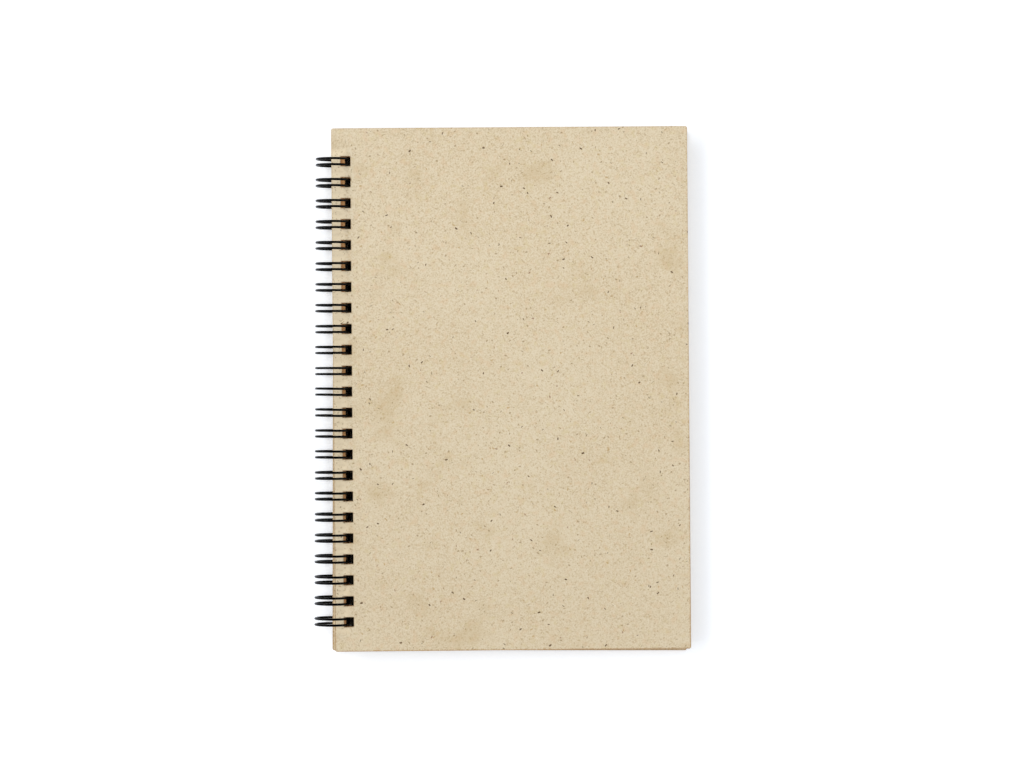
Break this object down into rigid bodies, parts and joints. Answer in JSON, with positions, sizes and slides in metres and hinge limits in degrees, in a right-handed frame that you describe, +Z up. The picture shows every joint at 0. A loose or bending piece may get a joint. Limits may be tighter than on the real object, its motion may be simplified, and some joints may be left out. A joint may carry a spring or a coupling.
{
  "type": "wire-bound notebook",
  "caption": "Closed A5 notebook with recycled-board covers and plain sheets on a black twin-loop wire; both covers turn about the wire.",
  "frame": {"origin": "middle of the closed book's footprint, on the table", "axes": "+X from the wire to the fore edge, +Y along the wire to the head of the book, +Z up from the table"},
  "size_m": [0.1526, 0.213, 0.0143],
  "materials": {
    "cover_board": "uncoated recycled board with dark fibres and specks",
    "sheets": "plain uncoated paper",
    "coated_wire": "black nylon-coated steel wire, satin"
  },
  "bodies": {
    "binding": {"twin_loop_wire": "coated_wire", "page_block": "sheets"},
    "front": {"front_cover": "cover_board"},
    "back": {"back_cover": "cover_board"}
  },
  "joints": [
    {"name": "front_cover_turn", "type": "hinge", "parent": "binding", "child": "front", "pos_m": [-0.06913, 0, 0.00715], "axis": [0, -1, 0], "range_deg": [0, 182]},
    {"name": "back_cover_turn", "type": "hinge", "parent": "binding", "child": "back", "pos_m": [-0.06913, 0, 0.00715], "axis": [0, 1, 0], "range_deg": [0, 180]}
  ]
}
